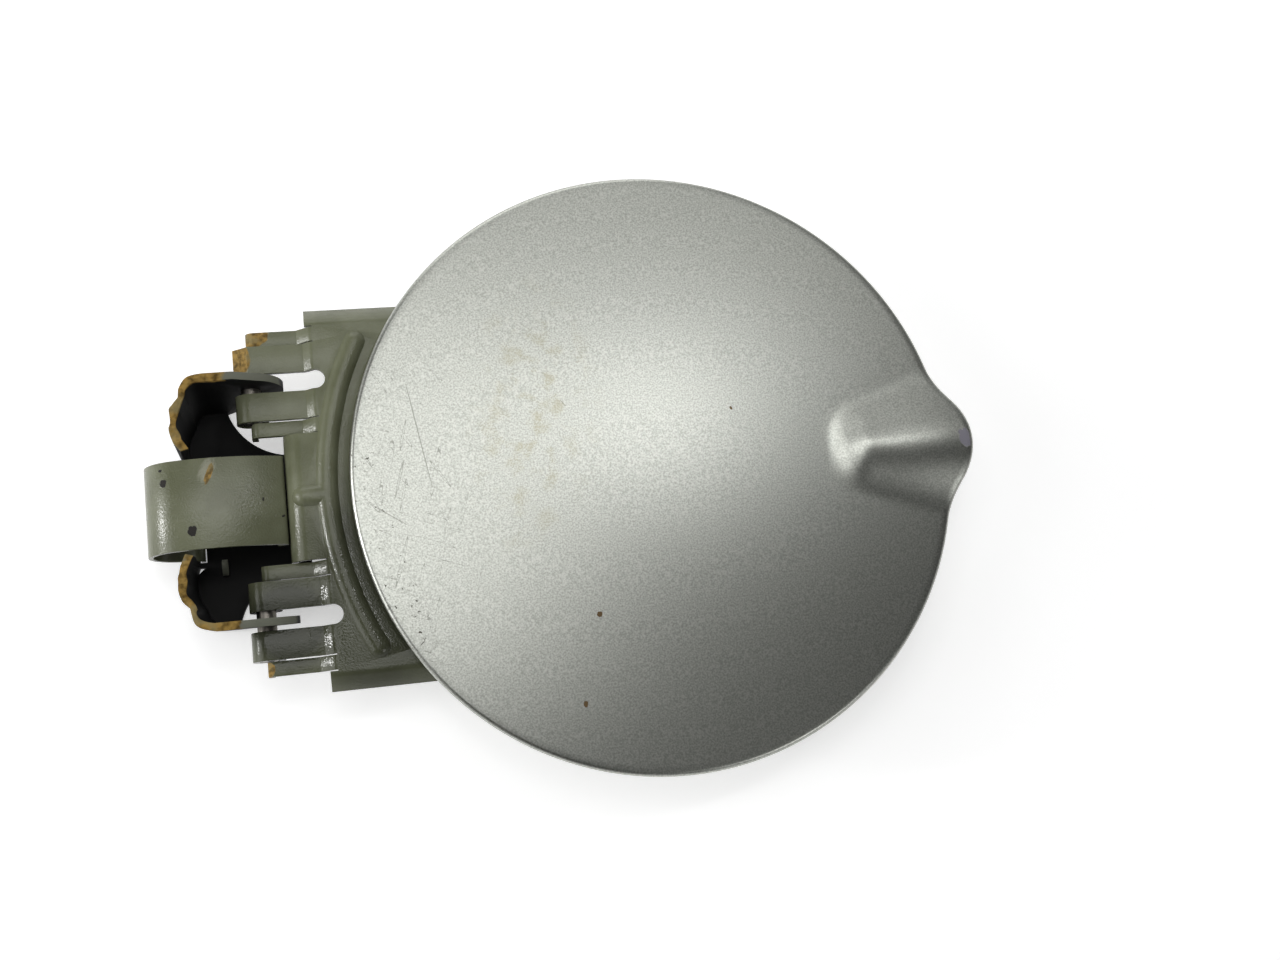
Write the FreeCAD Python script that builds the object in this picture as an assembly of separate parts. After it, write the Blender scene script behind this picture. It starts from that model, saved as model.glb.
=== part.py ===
import FreeCAD, Part
import math
import os

# Fuel filler door on its torn-off hinge base, shown closed. Millimetres.
# X runs from the hinge to the finger lip, Y along the hinge axis, Z out of the car.
# The origin lies under the hinge axis, on the underside of the base.

# Hinge base, a folded bracket
BASE_SHEET = 2.0
ARM_SPACING = 62.4
PIN_HEIGHT = 18.0
ARM_NOSE_RADIUS = 8.4
ARM_FOOT_X = -7.7
BASE_LEFT_X = -17.8
WALL_DRAFT = 5.0
CORNER_RADIUS = 6.0
WEB_BULGE = 2.9
WEB_RETURN = 1.2
WINDOW_MARGIN = 1.7
TEAR_ABOVE_PIN = 10.6
TEAR_RAGGEDNESS = 0.8
TEAR_LONG_WAVE = 11.4
TEAR_SHORT_WAVE = 4.5
TEAR_PITCH = 1.5
ARM_TOP_SPARE = 3.0
TONGUE_WIDTH = 32.0
TONGUE_ROOT_X = 6.7
TONGUE_END_X = 12.0
FLOOR_EDGE_SAG = 3.0
FLOOR_BRIDGE = 2.0
STOP_LUG_X = -11.2
STOP_LUG_SHEET = 1.4
STOP_LUG_WIDTH = 4.2
STOP_LUG_HEIGHT = 4.5

# Hinge pins
PIN_DIAMETER = 5.0
RUNNING_CLEARANCE = 0.05

# Hinge arm, a stamping
ARM_SHEET = 1.6
KNUCKLE_DROP = 1.8
TAB_DROP = 3.0
JOGGLE_ANGLE = 40.0
JOGGLE_RADIUS = 1.2
STRIP_ROOT_X = 17.0
GROUP_WIDTH = 28.4
TAB_WIDTH = 3.8
SLIT = 0.3
TAB_END_X = -0.5
TAB_BEND_RADIUS = 1.4
TAB_HOOK = 3.2
ROLL_TURN = 285.0
SLOT_WIDTH = 5.2
SLOT_END_X = 19.4
GROUND_DEPTH = 0.8
GROUND_BEARING = 128.0
FOLD_FACE_X = 7.3
FOLD_RADIUS = 5.0
FOLD_HEIGHT = 9.5
FLANGE_EDGE_X = 15.0
FLANGE_ANGLE = 42.0
FLANGE_RADIUS = 2.0
FLANGE_LENGTH = 4.4
FLANGE_LAP = 9.0
TONGUE_INSET = 23.0
TONGUE_TAPER_LENGTH = 84.0
TONGUE_TIP_WIDTH = 52.0
TONGUE_TIP_CROWN = 12.0
BEAD_GAP = 5.8
BEAD_WIDTH = 5.6
BEAD_RISE = 1.6
BEAD_HALF_ANGLE = 27.5
GUSSET_SETBACK = 4.7

# Leaf spring
SPRING_SHEET = 1.2
SPRING_WIDTH = 23.4
SPRING_LEFT_X = -28.6
SPRING_CREST_X = -11.0
SPRING_ARCH_RADIUS = 40.0
SPRING_TIP_RADIUS = 1.7
SPRING_TIP_RISE = 1.6
SPRING_TIP_TURN = 200.0
SPRING_TIP_GAP = 0.25
SPRING_LEG_LIFT = 1.6
SPRING_HOOK_X = -16.2
SPRING_HOOK_RADIUS = 1.8
SPRING_HOOK_RECESS = 0.4
SPRING_SLOT_CLEARANCE = 0.3

# Door skin
DISC_RADIUS = 82.5
HINGE_TO_RIM = 23.6
DOOR_RISE = 6.0
SKIN_SHEET = 0.8
CROWN_RADIUS_X = 4000.0
CROWN_RADIUS_Y = 1134.0
HEM_WIDTH = 7.0
LIP_REACH = 5.6
LIP_NOSE_RADIUS = 20.0
LIP_BLEND_RADIUS = 34.0
LIP_LENGTH = 41.0
LIP_RISE = 5.2
LIP_STEP_LENGTH = 11.0
LIP_STEP_SHARE = 0.6
LIP_START_WIDTH = 17.0
LIP_END_WIDTH = 46.0
GRID_COUNT = 41

# Inner panel
INNER_SHEET = 0.8
HEM_CLEARANCE = 0.05
DISH_INSET = 18.5
DISH_WALL_FLARE = 0.4

# Bump stops and latch striker
BUFFER_INSET = 8.0
BUFFER_BEARING = 52.0
BUFFER_DIAMETER = 12.0
BUFFER_LENGTH = 7.0
BUFFER_BEVEL = 2.0
BUFFER_STEM = 6.0
BUFFER_CAP_DIAMETER = 9.0
BUFFER_CAP_HEIGHT = 1.4
STEM_CLEARANCE = 0.1
STRIKER_INSET = 12.0
STRIKER_WIDTH = 16.0
STRIKER_SHEET = 1.6
STRIKER_DROP = 11.0
STRIKER_FOOT = 10.0
STRIKER_BEND_RADIUS = 2.0
STRIKER_SLOT_HEIGHT = 4.5
STRIKER_SLOT_WIDTH = 9.0

# Margin by which cutting tools pass through what they cut
THROUGH = 20.0

# Places shared by pieces that fit together
PIN_RADIUS = PIN_DIAMETER / 2
BORE_RADIUS = PIN_RADIUS + RUNNING_CLEARANCE
ROLL_RADIUS = BORE_RADIUS + ARM_SHEET / 2
PLATE_TOP = PIN_HEIGHT + BORE_RADIUS + ARM_SHEET + KNUCKLE_DROP
PLATE_MIDDLE = PLATE_TOP - ARM_SHEET / 2
ARM_Y = ARM_SPACING / 2
WALL_FACE_Y = ARM_Y + BASE_SHEET / 2
HALF_WINDOW = SPRING_WIDTH / 2 + WINDOW_MARGIN
TORN_TOP = PIN_HEIGHT + TEAR_ABOVE_PIN + ARM_TOP_SPARE
GROUP_INNER = ARM_Y - GROUP_WIDTH / 2
GROUP_OUTER = ARM_Y + GROUP_WIDTH / 2
KNUCKLE_INNER = GROUP_INNER + TAB_WIDTH + SLIT
KNUCKLE_OUTER = GROUP_OUTER - TAB_WIDTH - SLIT
DISC_X = HINGE_TO_RIM + DISC_RADIUS
RIM_Z = PLATE_TOP + DOOR_RISE
RIM_DEPTH = 2 * SKIN_SHEET + INNER_SHEET + 2 * HEM_CLEARANCE
DISH_RADIUS = DISC_RADIUS - DISH_INSET
DISH_TOP = PLATE_TOP + INNER_SHEET


def vec(x, y, z):
    return FreeCAD.Vector(x, y, z)


def side_plane(u, v):
    # Section plane seen along the hinge axis: u is X and v is Z.
    return vec(u, 0, v)


def front_plane(u, v):
    # Section plane seen along the door: u is Y and v is Z.
    return vec(0, u, v)


def block(x0, x1, y0, y1, z0, z1):
    return Part.makeBox(x1 - x0, y1 - y0, z1 - z0, vec(x0, y0, z0))


def polar(plane, centre, radius, bearing):
    angle = math.radians(bearing)
    return plane(centre[0] + radius * math.cos(angle), centre[1] + radius * math.sin(angle))


def plan(x, y):
    return vec(x, y, 0)


def arc(plane, centre, radius, start, end):
    bearings = (start, (start + end) / 2, end)
    return Part.Arc(*[polar(plane, centre, radius, bearing) for bearing in bearings]).toShape()


def outline_face(edges):
    return Part.Face(Part.Wire(edges))


def upright(face, z0, z1):
    solid = face.extrude(vec(0, 0, z1 - z0))
    solid.translate(vec(0, 0, z0))
    return solid


def across(face, y0, y1):
    solid = face.extrude(vec(0, y1 - y0, 0))
    solid.translate(vec(0, y0, 0))
    return solid


def mirrored(shape):
    return shape.mirror(vec(0, 0, 0), vec(0, 1, 0))


def joined(shapes):
    return shapes[0].multiFuse(shapes[1:]).removeSplitter()


def spaced(first, last, count):
    return [first + (last - first) * i / (count - 1) for i in range(count)]


def hinge_cylinder(radius, y0, y1):
    return Part.makeCylinder(radius, y1 - y0, vec(0, y0, PIN_HEIGHT), vec(0, 1, 0))


def tangent_bearing(centre, radius, point, side):
    # Bearing, from a circle's centre, of the tangent point of a line through an outside point.
    du = point[0] - centre[0]
    dv = point[1] - centre[1]
    spread = math.degrees(math.acos(radius / math.hypot(du, dv)))
    return math.degrees(math.atan2(dv, du)) + side * spread


# Folded sheet metal

def line(length):
    return ("line", length, 0.0)


def bend(radius, turn):
    return ("bend", radius, turn)


def joggle_slope(drop):
    turn = math.radians(JOGGLE_ANGLE)
    return (drop - 2 * JOGGLE_RADIUS * (1 - math.cos(turn))) / math.sin(turn)


def joggle(drop):
    # Step of a sheet to a lower level: a bend, a slope and the bend back.
    down = bend(JOGGLE_RADIUS, JOGGLE_ANGLE)
    level = bend(JOGGLE_RADIUS, -JOGGLE_ANGLE)
    return [down, line(joggle_slope(drop)), level]


def joggle_run(drop):
    turn = math.radians(JOGGLE_ANGLE)
    return 2 * JOGGLE_RADIUS * math.sin(turn) + joggle_slope(drop) * math.cos(turn)


def folded_sheet(plane, start, heading, moves, sheet):
    # Section of a folded sheet. Its middle line starts at a point with a heading, and each move
    # goes straight on or turns about a radius. The two faces lie half a sheet to either side.
    u, v = start
    angle = math.radians(heading)
    sides = {sheet / 2: [], -sheet / 2: []}

    def beside(station, offset):
        su, sv, sa = station
        return plane(su - offset * math.sin(sa), sv + offset * math.cos(sa))

    first = (u, v, angle)
    station = first
    for kind, size, turn in moves:
        u, v, angle = station
        if kind == "line":
            station = (u + size * math.cos(angle), v + size * math.sin(angle), angle)
            for offset, edges in sides.items():
                edges.append(Part.makeLine(beside((u, v, angle), offset), beside(station, offset)))
            continue
        way = math.copysign(1, turn)
        centre = (u - way * size * math.sin(angle), v + way * size * math.cos(angle))
        stops = []
        for share in (0.0, 0.5, 1.0):
            facing = angle + math.radians(turn) * share
            stop_u = centre[0] + way * size * math.sin(facing)
            stop_v = centre[1] - way * size * math.cos(facing)
            stops.append((stop_u, stop_v, facing))
        station = stops[-1]
        for offset, edges in sides.items():
            edges.append(Part.Arc(*[beside(stop, offset) for stop in stops]).toShape())
    left, right = sides.values()
    start_cap = Part.makeLine(beside(first, -sheet / 2), beside(first, sheet / 2))
    end_cap = Part.makeLine(beside(station, sheet / 2), beside(station, -sheet / 2))
    return outline_face(left + [end_cap] + right[::-1] + [start_cap])


# Hinge base

def web_arc(corner_y, window_y, setback):
    # Plan of the torn web, bulged out between the corner and the spring window.
    corner = plan(BASE_LEFT_X + setback, corner_y)
    window = plan(BASE_LEFT_X + WEB_RETURN + setback, window_y)
    crest = (corner + window) * 0.5 - vec(WEB_BULGE, 0, 0)
    return Part.Arc(corner, crest, window).toShape()


def base_floor():
    # Floor between the walls, out to the middle of their sheet.
    middle = BASE_SHEET / 2
    outer_y = WALL_FACE_Y - PIN_HEIGHT * math.tan(math.radians(WALL_DRAFT)) - middle
    corner = (BASE_LEFT_X + CORNER_RADIUS, outer_y + middle - CORNER_RADIUS)
    window_x = BASE_LEFT_X + WEB_RETURN + middle
    bridge_x = SPRING_HOOK_X - SPRING_SHEET / 2 - SPRING_SLOT_CLEARANCE - FLOOR_BRIDGE
    foot = plan(ARM_FOOT_X, outer_y)
    root = plan(TONGUE_ROOT_X, TONGUE_WIDTH / 2)
    chord = root - foot
    sag = vec(chord.y, -chord.x, 0).normalize() * FLOOR_EDGE_SAG
    edges = [
        Part.makeLine(plan(bridge_x, 0), plan(bridge_x, HALF_WINDOW)),
        Part.makeLine(plan(bridge_x, HALF_WINDOW), plan(window_x, HALF_WINDOW)),
        web_arc(corner[1], HALF_WINDOW, middle),
        arc(plan, corner, CORNER_RADIUS - middle, 180, 90),
        Part.makeLine(plan(corner[0], outer_y), foot),
        Part.Arc(foot, (foot + root) * 0.5 + sag, root).toShape(),
        Part.makeLine(root, plan(TONGUE_END_X, TONGUE_WIDTH / 2)),
        Part.makeLine(plan(TONGUE_END_X, TONGUE_WIDTH / 2), plan(TONGUE_END_X, 0)),
        Part.makeLine(plan(TONGUE_END_X, 0), plan(bridge_x, 0)),
    ]
    return upright(outline_face(edges), 0, BASE_SHEET)


def wall_strip():
    # Plan of web, corner and arm as one bent strip of sheet.
    inner_y = WALL_FACE_Y - BASE_SHEET
    window_y = HALF_WINDOW - BASE_SHEET
    corner = (BASE_LEFT_X + CORNER_RADIUS, WALL_FACE_Y - CORNER_RADIUS)
    window_x = BASE_LEFT_X + WEB_RETURN
    edges = [
        web_arc(corner[1], window_y, 0.0),
        arc(plan, corner, CORNER_RADIUS, 180, 90),
        Part.makeLine(plan(corner[0], WALL_FACE_Y), plan(ARM_NOSE_RADIUS, WALL_FACE_Y)),
        Part.makeLine(plan(ARM_NOSE_RADIUS, WALL_FACE_Y), plan(ARM_NOSE_RADIUS, inner_y)),
        Part.makeLine(plan(ARM_NOSE_RADIUS, inner_y), plan(corner[0], inner_y)),
        arc(plan, corner, CORNER_RADIUS - BASE_SHEET, 90, 180),
        web_arc(corner[1], window_y, BASE_SHEET),
        Part.makeLine(plan(window_x + BASE_SHEET, window_y), plan(window_x, window_y)),
    ]
    return outline_face(edges)


def wall_side():
    # Side view of the wall: full height at the web, then the arm that narrows to its round nose.
    pin = (0.0, PIN_HEIGHT)
    foot = (ARM_FOOT_X, 0.0)
    back = (BASE_LEFT_X + CORNER_RADIUS, TORN_TOP)
    left_x = BASE_LEFT_X - WEB_BULGE - BASE_SHEET
    low = tangent_bearing(pin, ARM_NOSE_RADIUS, foot, 1)
    high = tangent_bearing(pin, ARM_NOSE_RADIUS, back, -1)
    edges = [
        Part.makeLine(side_plane(left_x, 0), side_plane(*foot)),
        Part.makeLine(side_plane(*foot), polar(side_plane, pin, ARM_NOSE_RADIUS, low + 360)),
        arc(side_plane, pin, ARM_NOSE_RADIUS, low + 360, high + 360),
        Part.makeLine(polar(side_plane, pin, ARM_NOSE_RADIUS, high), side_plane(*back)),
        Part.makeLine(side_plane(*back), side_plane(left_x, TORN_TOP)),
        Part.makeLine(side_plane(left_x, TORN_TOP), side_plane(left_x, 0)),
    ]
    return across(outline_face(edges), HALF_WINDOW, ARM_SPACING)


def base_wall():
    # The wall leans outwards about the pin height.
    strip = upright(wall_strip(), -THROUGH, TORN_TOP + THROUGH)
    strip.rotate(vec(0, WALL_FACE_Y, PIN_HEIGHT), vec(1, 0, 0), -WALL_DRAFT)
    return strip.common(wall_side())


def tear_z(y):
    # Height at which the sheet tore: two waves across the web, level along the arms.
    level = PIN_HEIGHT + TEAR_ABOVE_PIN
    if abs(y) > WALL_FACE_Y - CORNER_RADIUS:
        return level
    turn = 2 * math.pi
    waves = math.sin(turn * y / TEAR_LONG_WAVE) + math.sin(turn * y / TEAR_SHORT_WAVE)
    return level + TEAR_RAGGEDNESS * waves / 2


def torn_away():
    left_x = BASE_LEFT_X - WEB_BULGE - BASE_SHEET
    side_y = WALL_FACE_Y + THROUGH
    count = 1 + 2 * round(side_y / TEAR_PITCH)
    rim = [vec(left_x, y, tear_z(y)) for y in spaced(-side_y, side_y, count)]
    top = [vec(left_x, side_y, TORN_TOP), vec(left_x, -side_y, TORN_TOP)]
    return Part.Face(Part.makePolygon(rim + top + rim[:1])).extrude(vec(ARM_NOSE_RADIUS - left_x, 0, 0))


def spring_slot():
    half_x = SPRING_SHEET / 2 + SPRING_SLOT_CLEARANCE
    half_y = SPRING_WIDTH / 2 + SPRING_SLOT_CLEARANCE
    return block(SPRING_HOOK_X - half_x, SPRING_HOOK_X + half_x, -half_y, half_y, -THROUGH, THROUGH)


def stop_lug():
    # Lug lanced up from the floor beside the foot of the spring.
    radius = STOP_LUG_WIDTH / 2
    middle = SPRING_WIDTH / 2 + SPRING_SLOT_CLEARANCE + radius
    top = BASE_SHEET + STOP_LUG_HEIGHT
    edges = [
        Part.makeLine(front_plane(middle - radius, 0), front_plane(middle + radius, 0)),
        Part.makeLine(front_plane(middle + radius, 0), front_plane(middle + radius, top - radius)),
        arc(front_plane, (middle, top - radius), radius, 0, 180),
        Part.makeLine(front_plane(middle - radius, top - radius), front_plane(middle - radius, 0)),
    ]
    lug = outline_face(edges).extrude(vec(STOP_LUG_SHEET, 0, 0))
    lug.translate(vec(STOP_LUG_X, 0, 0))
    return lug


def hinge_base():
    half = [base_floor(), base_wall(), stop_lug()]
    body = joined(half + [mirrored(piece) for piece in half])
    bore = hinge_cylinder(BORE_RADIUS, -ARM_Y - THROUGH, ARM_Y + THROUGH)
    return body.cut([torn_away(), spring_slot(), bore])


# Hinge pins

def hinge_pin():
    bevel = PIN_DIAMETER / 10
    pin = hinge_cylinder(PIN_RADIUS, KNUCKLE_INNER, KNUCKLE_OUTER)
    rims = [edge for edge in pin.Edges if edge.Closed]
    return pin.makeChamfer(bevel, rims)


# Hinge arm

def knuckle_strip():
    run = STRIP_ROOT_X - joggle_run(KNUCKLE_DROP)
    moves = [line(ARM_SHEET)] + joggle(KNUCKLE_DROP) + [line(run), bend(ROLL_RADIUS, ROLL_TURN)]
    section = folded_sheet(side_plane, (STRIP_ROOT_X + ARM_SHEET, PLATE_MIDDLE), 180, moves, ARM_SHEET)
    return across(section, KNUCKLE_INNER, KNUCKLE_OUTER)


def keeper_tab(y0):
    # Tab beside a knuckle, bent down over the end of the pin.
    bend_x = TAB_END_X + ARM_SHEET / 2 + TAB_BEND_RADIUS
    run = STRIP_ROOT_X - joggle_run(TAB_DROP) - bend_x
    moves = [line(ARM_SHEET)] + joggle(TAB_DROP) + [line(run), bend(TAB_BEND_RADIUS, 90), line(TAB_HOOK)]
    section = folded_sheet(side_plane, (STRIP_ROOT_X + ARM_SHEET, PLATE_MIDDLE), 180, moves, ARM_SHEET)
    return across(section, y0, y0 + TAB_WIDTH)


def middle_fold():
    # Middle of the edge, folded down in front of the tip of the spring.
    radius = FOLD_RADIUS - ARM_SHEET / 2
    moves = [line(STRIP_ROOT_X + ARM_SHEET - FOLD_FACE_X - FOLD_RADIUS), bend(radius, 90)]
    moves.append(line(FOLD_HEIGHT - FOLD_RADIUS))
    section = folded_sheet(side_plane, (STRIP_ROOT_X + ARM_SHEET, PLATE_MIDDLE), 180, moves, ARM_SHEET)
    return across(section, SLIT - GROUP_INNER, GROUP_INNER - SLIT)


def side_flange():
    # Sloped flange along the side of the arm.
    moves = [line(SLIT + ARM_SHEET), bend(FLANGE_RADIUS, -FLANGE_ANGLE), line(FLANGE_LENGTH)]
    section = folded_sheet(front_plane, (GROUP_OUTER - ARM_SHEET, PLATE_MIDDLE), 0, moves, ARM_SHEET)
    end_x = HINGE_TO_RIM + DISH_INSET + FLANGE_LAP
    flange = section.extrude(vec(end_x - FLANGE_EDGE_X, 0, 0))
    flange.translate(vec(FLANGE_EDGE_X, 0, 0))
    clear = block(FLANGE_EDGE_X, STRIP_ROOT_X, 0, GROUP_OUTER + SLIT, 0, PLATE_TOP + THROUGH)
    return flange.cut(clear)


def arm_plate():
    half = GROUP_OUTER
    tip_x = DISC_X + DISH_RADIUS - TONGUE_INSET
    tip_half = TONGUE_TIP_WIDTH / 2
    taper_x = tip_x - TONGUE_TIP_CROWN - TONGUE_TAPER_LENGTH
    shoulder_x = tip_x - TONGUE_TIP_CROWN
    edges = [
        Part.makeLine(plan(STRIP_ROOT_X, -half), plan(taper_x, -half)),
        Part.makeLine(plan(taper_x, -half), plan(shoulder_x, -tip_half)),
        Part.Arc(plan(shoulder_x, -tip_half), plan(tip_x, 0), plan(shoulder_x, tip_half)).toShape(),
        Part.makeLine(plan(shoulder_x, tip_half), plan(taper_x, half)),
        Part.makeLine(plan(taper_x, half), plan(STRIP_ROOT_X, half)),
        Part.makeLine(plan(STRIP_ROOT_X, half), plan(STRIP_ROOT_X, -half)),
    ]
    return upright(outline_face(edges), PLATE_TOP - ARM_SHEET, PLATE_TOP)


def raised_beads(shift):
    # Stiffening bead concentric with the disc, and the short gusset from its middle to the fold.
    radius = DISC_RADIUS + BEAD_GAP
    tube = (BEAD_WIDTH ** 2 / 4 + BEAD_RISE ** 2) / (2 * BEAD_RISE)
    level = PLATE_TOP + BEAD_RISE - tube + shift
    ring = Part.makeTorus(radius, tube, vec(0, 0, 0), vec(0, 0, 1), 0, 360, 2 * BEAD_HALF_ANGLE)
    ring.rotate(vec(0, 0, 0), vec(0, 0, 1), 180 - BEAD_HALF_ANGLE)
    ring.translate(vec(DISC_X, 0, level))
    ends = [polar(plan, (DISC_X, 0), radius, 180 + side * BEAD_HALF_ANGLE) for side in (-1, 1)]
    gusset_x = FOLD_FACE_X + GUSSET_SETBACK
    ends.append(plan(gusset_x, 0))
    balls = [Part.makeSphere(tube, vec(at.x, at.y, level)) for at in ends]
    bead_x = DISC_X - radius
    gusset = Part.makeCylinder(tube, bead_x - gusset_x, vec(gusset_x, 0, level), vec(1, 0, 0))
    return ring.multiFuse(balls + [gusset])


def arm_slot():
    half = SLOT_WIDTH / 2
    end = SLOT_END_X - half
    low = PIN_HEIGHT - THROUGH
    high = PLATE_TOP + THROUGH
    straight = block(-THROUGH, end, ARM_Y - half, ARM_Y + half, low, high)
    round_end = Part.makeCylinder(half, high - low, vec(end, ARM_Y, low))
    return straight.fuse(round_end)


def ground_away():
    # Wedge that was ground off the outer knuckle and tab of the upper hinge.
    outer = ROLL_RADIUS + ARM_SHEET / 2 - GROUND_DEPTH
    tool = block(outer, outer + THROUGH, ARM_Y, ARM_Y + THROUGH, -THROUGH, THROUGH)
    tool.rotate(vec(0, 0, 0), vec(0, 1, 0), -GROUND_BEARING)
    tool.translate(vec(0, 0, PIN_HEIGHT))
    return tool


def hinge_arm():
    outer_tab = keeper_tab(GROUP_OUTER - TAB_WIDTH)
    half = [knuckle_strip(), keeper_tab(GROUP_INNER), outer_tab, side_flange()]
    plate = arm_plate().fuse(middle_fold())
    low = PLATE_TOP - ARM_SHEET
    above = block(0, DISC_X, -DISC_RADIUS, DISC_RADIUS, low, PLATE_TOP + THROUGH)
    beads = raised_beads(0.0).common(above)
    body = joined([plate, beads] + half + [mirrored(piece) for piece in half])
    slots = [arm_slot(), mirrored(arm_slot())]
    return body.cut(slots + [raised_beads(-ARM_SHEET), ground_away()])


# Leaf spring

def leaf_spring():
    tip = (FOLD_FACE_X - SPRING_TIP_GAP - SPRING_TIP_RADIUS, PIN_HEIGHT + SPRING_TIP_RISE)
    tip_radius = SPRING_TIP_RADIUS - SPRING_SHEET / 2
    reach = tip[0] - SPRING_CREST_X
    arch_z = tip[1] - math.sqrt((SPRING_ARCH_RADIUS - tip_radius) ** 2 - reach ** 2)
    leg_z = BASE_SHEET + SPRING_LEG_LIFT + SPRING_SHEET / 2
    a = SPRING_CREST_X - SPRING_LEFT_X - SPRING_SHEET / 2
    b = leg_z - arch_z
    p = b - a + SPRING_ARCH_RADIUS
    loop_radius = math.sqrt(p ** 2 - a ** 2 - b ** 2 + SPRING_ARCH_RADIUS ** 2) - p
    loop_x = SPRING_LEFT_X + SPRING_SHEET / 2 + loop_radius
    lean = math.degrees(math.asin((a - loop_radius) / (SPRING_ARCH_RADIUS - loop_radius)))
    tip_bearing = math.degrees(math.atan2(tip[1] - arch_z, reach))
    curl_bearing = tip_bearing - SPRING_TIP_TURN
    start = polar(plan, tip, tip_radius, curl_bearing)
    moves = [
        bend(tip_radius, SPRING_TIP_TURN),
        bend(SPRING_ARCH_RADIUS, 90 + lean - tip_bearing),
        bend(loop_radius, 180 - lean),
        line(SPRING_HOOK_X - SPRING_HOOK_RADIUS - loop_x),
        bend(SPRING_HOOK_RADIUS, -90),
        line(leg_z - SPRING_HOOK_RADIUS - SPRING_HOOK_RECESS),
    ]
    section = folded_sheet(side_plane, (start.x, start.y), curl_bearing + 90, moves, SPRING_SHEET)
    return across(section, -SPRING_WIDTH / 2, SPRING_WIDTH / 2)


# Door skin

def lip_outline(inset):
    # Disc with the finger lip: two hollow blend arcs join the disc to the round nose.
    nose_x = DISC_RADIUS + LIP_REACH - LIP_NOSE_RADIUS
    to_disc = DISC_RADIUS + LIP_BLEND_RADIUS
    to_nose = LIP_NOSE_RADIUS + LIP_BLEND_RADIUS
    blend_x = (to_disc ** 2 - to_nose ** 2 + nose_x ** 2) / (2 * nose_x)
    blend_y = math.sqrt(to_disc ** 2 - blend_x ** 2)
    disc_bearing = math.degrees(math.atan2(blend_y, blend_x))
    nose_bearing = math.degrees(math.atan2(blend_y, blend_x - nose_x))
    centre = (DISC_X, 0)
    nose = (DISC_X + nose_x, 0)
    upper = (DISC_X + blend_x, blend_y)
    lower = (DISC_X + blend_x, -blend_y)
    hollow = LIP_BLEND_RADIUS + inset
    edges = [
        arc(plan, centre, DISC_RADIUS - inset, disc_bearing, 360 - disc_bearing),
        arc(plan, lower, hollow, 180 - disc_bearing, 180 - nose_bearing),
        arc(plan, nose, LIP_NOSE_RADIUS - inset, -nose_bearing, nose_bearing),
        arc(plan, upper, hollow, 180 + nose_bearing, 180 + disc_bearing),
    ]
    return outline_face(edges)


def smooth_step(share):
    t = min(max(share, 0.0), 1.0)
    return t * t * t * (10 - 15 * t + 6 * t * t)


def skin_z(x, y):
    # Outer face of the door: a crowned panel with the raised finger lip.
    ahead = x - DISC_X
    edge_sag = DISC_RADIUS ** 2 / (2 * CROWN_RADIUS_X)
    crown = RIM_Z + edge_sag - ahead ** 2 / (2 * CROWN_RADIUS_X) - y ** 2 / (2 * CROWN_RADIUS_Y)
    along = ahead - (DISC_RADIUS + LIP_REACH - LIP_LENGTH)
    share = along / LIP_LENGTH
    half = (LIP_START_WIDTH + (LIP_END_WIDTH - LIP_START_WIDTH) * max(share, 0.0)) / 2
    step = LIP_STEP_SHARE * smooth_step(along / LIP_STEP_LENGTH)
    slope = (1 - LIP_STEP_SHARE) * smooth_step(share)
    ridge = math.cos(math.pi / 2 * min(abs(y) / half, 1.0)) ** 2
    return crown + LIP_RISE * (step + slope) * ridge


def skin_slab(depth, thickness):
    # Layer of the door that starts a depth below the outer face, laid over an even grid.
    x0 = HINGE_TO_RIM - HEM_WIDTH
    y0 = -DISC_RADIUS - HEM_WIDTH
    length = 2 * DISC_RADIUS + LIP_REACH + 2 * HEM_WIDTH
    pitch_x = length / (GRID_COUNT - 1)
    pitch_y = -2 * y0 / (GRID_COUNT - 1)
    rows = []
    for i in range(GRID_COUNT):
        x = x0 + pitch_x * i
        rows.append([skin_z(x, y0 + pitch_y * j) - depth for j in range(GRID_COUNT)])
    surface = Part.BSplineSurface()
    surface.interpolate(rows, x0, pitch_x, y0, pitch_y)
    return surface.toShape().extrude(vec(0, 0, -thickness))


def door_prism(inset):
    return upright(lip_outline(inset), 0, RIM_Z + LIP_RISE + THROUGH)


def door_skin():
    blank = door_prism(0.0).common(skin_slab(0.0, RIM_DEPTH))
    pocket = door_prism(SKIN_SHEET).common(skin_slab(SKIN_SHEET, RIM_DEPTH - 2 * SKIN_SHEET))
    opening = door_prism(HEM_WIDTH).common(skin_slab(RIM_DEPTH / 2, THROUGH))
    return blank.cut([pocket, opening])


# Inner panel

def dish_cone(radius, z0, z1):
    return Part.makeCone(radius, radius + DISH_WALL_FLARE * (z1 - z0), z1 - z0, vec(DISC_X, 0, z0))


def buffer_places():
    radius = DISH_RADIUS - BUFFER_INSET
    return [polar(plan, (DISC_X, 0), radius, bearing) for bearing in (BUFFER_BEARING, -BUFFER_BEARING)]


def inner_panel():
    top = RIM_Z + LIP_RISE
    under_rim = skin_slab(RIM_DEPTH / 2, THROUGH)
    hem_layer = skin_slab(SKIN_SHEET + HEM_CLEARANCE, INNER_SHEET)
    rim_radius = DISC_RADIUS - SKIN_SHEET - HEM_CLEARANCE
    rim = Part.makeCylinder(rim_radius, top, vec(DISC_X, 0, 0)).common(hem_layer)
    dish = dish_cone(DISH_RADIUS, PLATE_TOP, top).common(under_rim)
    hollow = dish_cone(DISH_RADIUS - INNER_SHEET, DISH_TOP, top + THROUGH)
    holes = []
    for at in buffer_places():
        holes.append(Part.makeCylinder(BUFFER_STEM / 2 + STEM_CLEARANCE, top, vec(at.x, at.y, 0)))
    return rim.fuse(dish).cut([hollow] + holes).removeSplitter()


# Bump stops

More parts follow.
